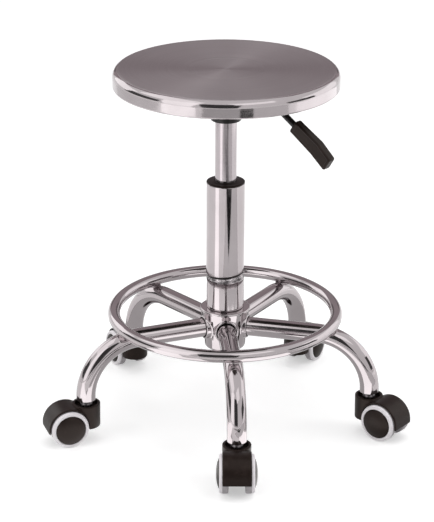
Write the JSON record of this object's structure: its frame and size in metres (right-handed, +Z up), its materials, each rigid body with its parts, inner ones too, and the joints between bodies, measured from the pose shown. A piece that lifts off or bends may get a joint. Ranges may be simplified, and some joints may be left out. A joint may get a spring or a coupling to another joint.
{
  "type": "swivel stool",
  "caption": "Backless stool: round steel seat on a gas-lift column with release lever, over a bent-tube leg base with foot ring and swivel casters.",
  "frame": {"origin": "on the floor, on the column's axis", "axes": "+Z up along the column, towards the seat; -Y towards the front leg's side, as pictured"},
  "size_m": [0.4847, 0.4753, 0.4846],
  "materials": {
    "chrome": "bright chrome plate",
    "brushed_steel": "stainless steel, top brushed in circles, rim polished",
    "plain_steel": "zinc-plated steel",
    "black_plastic": "moulded, semi-matte",
    "black_paint": "black enamel on pressed steel",
    "pale_tread": "soft pale grey tyre",
    "dark_board": "dark pressed board"
  },
  "bodies": {
    "base": {"hub": "chrome", "column_sleeve": "chrome", "gas_cylinder": "chrome", "guide_bush": "black_plastic", "thrust_bearing": "plain_steel", "foot_ring": "chrome", "leg_1": "chrome", "caster_stem_1": "plain_steel", "leg_2": "chrome", "caster_stem_2": "plain_steel", "leg_3": "chrome", "caster_stem_3": "plain_steel", "leg_4": "chrome", "caster_stem_4": "plain_steel", "leg_5": "chrome", "caster_stem_5": "plain_steel"},
    "spindle": {"piston_rod": "plain_steel", "retaining_clip": "plain_steel"},
    "seat": {"pressure_tube": "chrome", "taper_socket": "black_paint", "mount_plate": "black_paint", "seat_core": "dark_board", "seat_shell": "brushed_steel", "seat_screw_1": "plain_steel", "seat_screw_2": "plain_steel", "seat_screw_3": "plain_steel", "seat_screw_4": "plain_steel"},
    "lever": {"lever_rod": "black_paint", "lever_grip": "black_plastic"},
    "valve": {"valve_pin": "plain_steel"},
    "caster_1": {"caster_hood_1": "black_plastic", "axle_1": "plain_steel"},
    "wheel_1_left": {"wheel_1_left": "black_plastic", "tyre_1_left": "pale_tread"},
    "wheel_1_right": {"wheel_1_right": "black_plastic", "tyre_1_right": "pale_tread"},
    "caster_2": {"caster_hood_2": "black_plastic", "axle_2": "plain_steel"},
    "wheel_2_left": {"wheel_2_left": "black_plastic", "tyre_2_left": "pale_tread"},
    "wheel_2_right": {"wheel_2_right": "black_plastic", "tyre_2_right": "pale_tread"},
    "caster_3": {"caster_hood_3": "black_plastic", "axle_3": "plain_steel"},
    "wheel_3_left": {"wheel_3_left": "black_plastic", "tyre_3_left": "pale_tread"},
    "wheel_3_right": {"wheel_3_right": "black_plastic", "tyre_3_right": "pale_tread"},
    "caster_4": {"caster_hood_4": "black_plastic", "axle_4": "plain_steel"},
    "wheel_4_left": {"wheel_4_left": "black_plastic", "tyre_4_left": "pale_tread"},
    "wheel_4_right": {"wheel_4_right": "black_plastic", "tyre_4_right": "pale_tread"},
    "caster_5": {"caster_hood_5": "black_plastic", "axle_5": "plain_steel"},
    "wheel_5_left": {"wheel_5_left": "black_plastic", "tyre_5_left": "pale_tread"},
    "wheel_5_right": {"wheel_5_right": "black_plastic", "tyre_5_right": "pale_tread"}
  },
  "joints": [
    {"name": "seat_swivel", "type": "hinge", "parent": "base", "child": "spindle", "pos_m": [0, 0, 0.11], "axis": [0, 0, 1], "continuous": true},
    {"name": "seat_height", "type": "slide", "parent": "spindle", "child": "seat", "axis": [0, 0, 1], "range_m": [-0.052, 0.068]},
    {"name": "lever_lift", "type": "hinge", "parent": "seat", "child": "lever", "pos_m": [0.02605, -0.02185, 0.45861], "axis": [-0.6428, -0.766, 0], "range_deg": [0, 6], "stiffness_Nm_per_rad": 4, "springref_deg": -4.58},
    {"name": "valve_press", "type": "slide", "parent": "seat", "child": "valve", "axis": [0, 0, 1], "range_m": [-0.0038, 0]},
    {"name": "caster_swivel_1", "type": "hinge", "parent": "base", "child": "caster_1", "pos_m": [0.01572, -0.19537, 0.046], "axis": [0, 0, 1], "continuous": true},
    {"name": "wheel_spin_1_left", "type": "hinge", "parent": "caster_1", "child": "wheel_1_left", "pos_m": [0.016, -0.22237, 0.025], "axis": [0.9999, 0.0105, 0], "continuous": true},
    {"name": "wheel_spin_1_right", "type": "hinge", "parent": "caster_1", "child": "wheel_1_right", "pos_m": [0.016, -0.22237, 0.025], "axis": [0.9999, 0.0105, 0], "continuous": true},
    {"name": "caster_swivel_2", "type": "hinge", "parent": "base", "child": "caster_2", "pos_m": [0.19066, -0.04542, 0.046], "axis": [0, 0, 1], "continuous": true},
    {"name": "wheel_spin_2_left", "type": "hinge", "parent": "caster_2", "child": "wheel_2_left", "pos_m": [0.21211, -0.06182, 0.025], "axis": [0.6074, 0.7944, 0], "continuous": true},
    {"name": "wheel_spin_2_right", "type": "hinge", "parent": "caster_2", "child": "wheel_2_right", "pos_m": [0.21211, -0.06182, 0.025], "axis": [0.6074, 0.7944, 0], "continuous": true},
    {"name": "caster_swivel_3", "type": "hinge", "parent": "base", "child": "caster_3", "pos_m": [0.10212, 0.1673, 0.046], "axis": [0, 0, 1], "continuous": true},
    {"name": "wheel_spin_3_left", "type": "hinge", "parent": "caster_3", "child": "wheel_3_left", "pos_m": [0.11412, 0.19148, 0.025], "axis": [-0.8957, 0.4446, 0], "continuous": true},
    {"name": "wheel_spin_3_right", "type": "hinge", "parent": "caster_3", "child": "wheel_3_right", "pos_m": [0.11412, 0.19148, 0.025], "axis": [-0.8957, 0.4446, 0], "continuous": true},
    {"name": "caster_swivel_4", "type": "hinge", "parent": "base", "child": "caster_4", "pos_m": [-0.12755, 0.14882, 0.046], "axis": [0, 0, 1], "continuous": true},
    {"name": "wheel_spin_4_left", "type": "hinge", "parent": "caster_4", "child": "wheel_4_left", "pos_m": [-0.13964, 0.17296, 0.025], "axis": [-0.8942, -0.4478, 0], "continuous": true},
    {"name": "wheel_spin_4_right", "type": "hinge", "parent": "caster_4", "child": "wheel_4_right", "pos_m": [-0.13964, 0.17296, 0.025], "axis": [-0.8942, -0.4478, 0], "continuous": true},
    {"name": "caster_swivel_5", "type": "hinge", "parent": "base", "child": "caster_5", "pos_m": [-0.18095, -0.07532, 0.046], "axis": [0, 0, 1], "continuous": true},
    {"name": "wheel_spin_5_left", "type": "hinge", "parent": "caster_5", "child": "wheel_5_left", "pos_m": [-0.20639, -0.08438, 0.025], "axis": [0.3355, -0.9421, 0], "continuous": true},
    {"name": "wheel_spin_5_right", "type": "hinge", "parent": "caster_5", "child": "wheel_5_right", "pos_m": [-0.20639, -0.08438, 0.025], "axis": [0.3355, -0.9421, 0], "continuous": true}
  ],
  "couplings": [
    {"joint": "valve_press", "follows": "lever_lift", "m_per_rad": -0.036}
  ]
}
